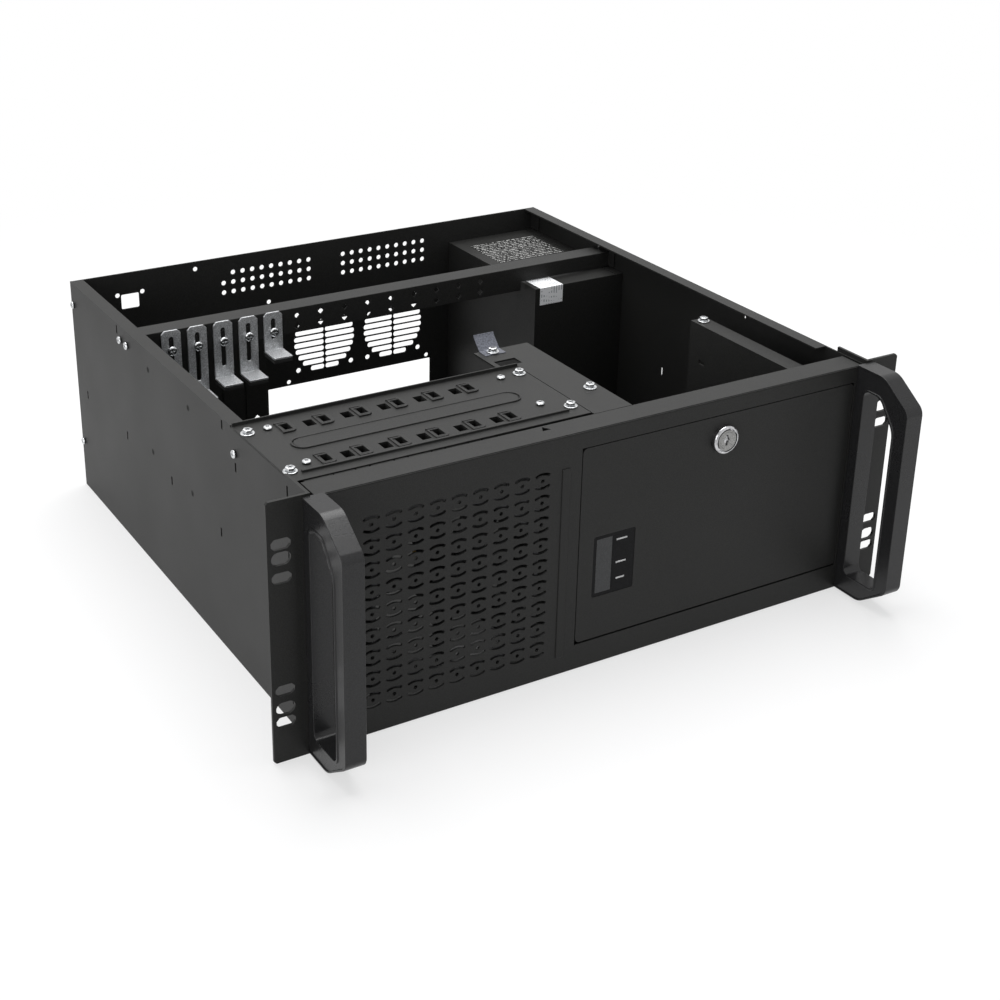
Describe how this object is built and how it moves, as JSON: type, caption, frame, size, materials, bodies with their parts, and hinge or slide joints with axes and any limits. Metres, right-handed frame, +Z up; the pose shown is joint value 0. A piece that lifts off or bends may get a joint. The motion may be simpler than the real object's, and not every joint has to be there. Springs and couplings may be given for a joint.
{
  "type": "rackmount server case",
  "caption": "Open 19-inch rack case with handles, a fan grille, a hinged front door with a lock, a drive cage, wide drive bays, expansion slots and a power supply.",
  "frame": {"origin": "middle of the whole part's footprint, on the surface it rests on", "axes": "+Z up, +X along the front panel to the right seen from the front, +Y from the front panel to the rear panel"},
  "size_m": [0.4826, 0.4822, 0.1871],
  "materials": {
    "black_steel": "fine grained black powder coat",
    "black_alloy": "satin black coat on cast alloy",
    "zinc_steel": "zinc plated",
    "chrome": "polished plate",
    "brass": "turned",
    "black_rubber": "matte",
    "black_plastic": "fine matte",
    "smoked_plastic": "smoked gloss",
    "pale_plastic": "translucent"
  },
  "bodies": {
    "case": {"bay_blank_1": "black_plastic", "bay_blank_2": "black_plastic", "bay_blank_3": "black_plastic", "bay_face_plate": "black_steel", "bay_frame": "black_steel", "bay_right_wall": "black_steel", "board_standoffs": "brass", "cage_lid": "black_steel", "case_screws": "zinc_steel", "chassis_tray": "black_steel", "clamp_screws": "zinc_steel", "crossbar": "black_steel", "drive_cage": "black_steel", "flange_screws": "zinc_steel", "front_fan_frame": "black_plastic", "front_panel": "black_steel", "grounding_clip": "zinc_steel", "handle_screws": "zinc_steel", "hinge_pins": "zinc_steel", "left_ear": "black_steel", "left_handle": "black_alloy", "light_guide": "pale_plastic", "pan_screws": "zinc_steel", "rear_panel": "black_steel", "right_ear": "black_steel", "right_handle": "black_alloy", "slot_cover_1": "black_steel", "slot_cover_2": "black_steel", "slot_cover_3": "black_steel", "slot_cover_4": "black_steel", "slot_cover_5": "black_steel", "slot_cover_6": "black_steel", "slot_cover_7": "black_steel", "slot_cover_screws": "zinc_steel", "socket_block": "black_plastic", "supply_case": "black_steel", "supply_fan_guard": "chrome", "supply_inlet": "black_plastic", "switch_housings": "black_plastic"},
    "door": {"front_door": "black_steel", "door_window": "smoked_plastic", "lock_barrel": "chrome", "lock_nut": "zinc_steel"},
    "lock": {"lock_cylinder": "chrome", "lock_cam": "zinc_steel"},
    "power_key": {"power_button": "black_plastic"},
    "reset_key": {"reset_button": "black_plastic"},
    "front_fan": {"front_fan_rotor": "black_plastic"},
    "supply_fan": {"supply_fan_rotor": "black_plastic"},
    "supply_rocker": {"supply_switch": "black_plastic"},
    "hold_down_1": {"card_hold_down_1": "zinc_steel", "hold_down_pad_1": "black_rubber"},
    "hold_down_2": {"card_hold_down_2": "zinc_steel", "hold_down_pad_2": "black_rubber"},
    "hold_down_3": {"card_hold_down_3": "zinc_steel", "hold_down_pad_3": "black_rubber"},
    "hold_down_4": {"card_hold_down_4": "zinc_steel", "hold_down_pad_4": "black_rubber"},
    "hold_down_5": {"card_hold_down_5": "zinc_steel", "hold_down_pad_5": "black_rubber"}
  },
  "joints": [
    {"name": "door_hinge", "type": "hinge", "parent": "case", "child": "door", "pos_m": [0.0901, -0.1867, 0.0237], "axis": [1, 0, 0], "range_deg": [0, 90]},
    {"name": "lock_turn", "type": "hinge", "parent": "door", "child": "lock", "pos_m": [0.0901, -0.1899, 0.145], "axis": [0, 1, 0], "range_deg": [0, 90]},
    {"name": "power_press", "type": "slide", "parent": "case", "child": "power_key", "axis": [0, 1, 0], "range_m": [0, 0.002], "stiffness_N_per_m": 300},
    {"name": "reset_press", "type": "slide", "parent": "case", "child": "reset_key", "axis": [0, 1, 0], "range_m": [0, 0.002], "stiffness_N_per_m": 300},
    {"name": "front_fan_spin", "type": "hinge", "parent": "case", "child": "front_fan", "pos_m": [-0.1133, -0.1779, 0.0854], "axis": [0, 1, 0], "continuous": true},
    {"name": "supply_fan_spin", "type": "hinge", "parent": "case", "child": "supply_fan", "pos_m": [0.1686, 0.2261, 0.052], "axis": [0, 1, 0], "continuous": true},
    {"name": "supply_switch_rock", "type": "hinge", "parent": "case", "child": "supply_rocker", "pos_m": [0.1466, 0.2386, 0.12], "axis": [1, 0, 0], "range_deg": [0, 16]},
    {"name": "hold_down_slide_1", "type": "slide", "parent": "case", "child": "hold_down_1", "axis": [0, 0, 1], "range_m": [-0.008, 0.004]},
    {"name": "hold_down_slide_2", "type": "slide", "parent": "case", "child": "hold_down_2", "axis": [0, 0, 1], "range_m": [-0.008, 0.004]},
    {"name": "hold_down_slide_3", "type": "slide", "parent": "case", "child": "hold_down_3", "axis": [0, 0, 1], "range_m": [-0.008, 0.004]},
    {"name": "hold_down_slide_4", "type": "slide", "parent": "case", "child": "hold_down_4", "axis": [0, 0, 1], "range_m": [-0.008, 0.004]},
    {"name": "hold_down_slide_5", "type": "slide", "parent": "case", "child": "hold_down_5", "axis": [0, 0, 1], "range_m": [-0.008, 0.004]}
  ]
}
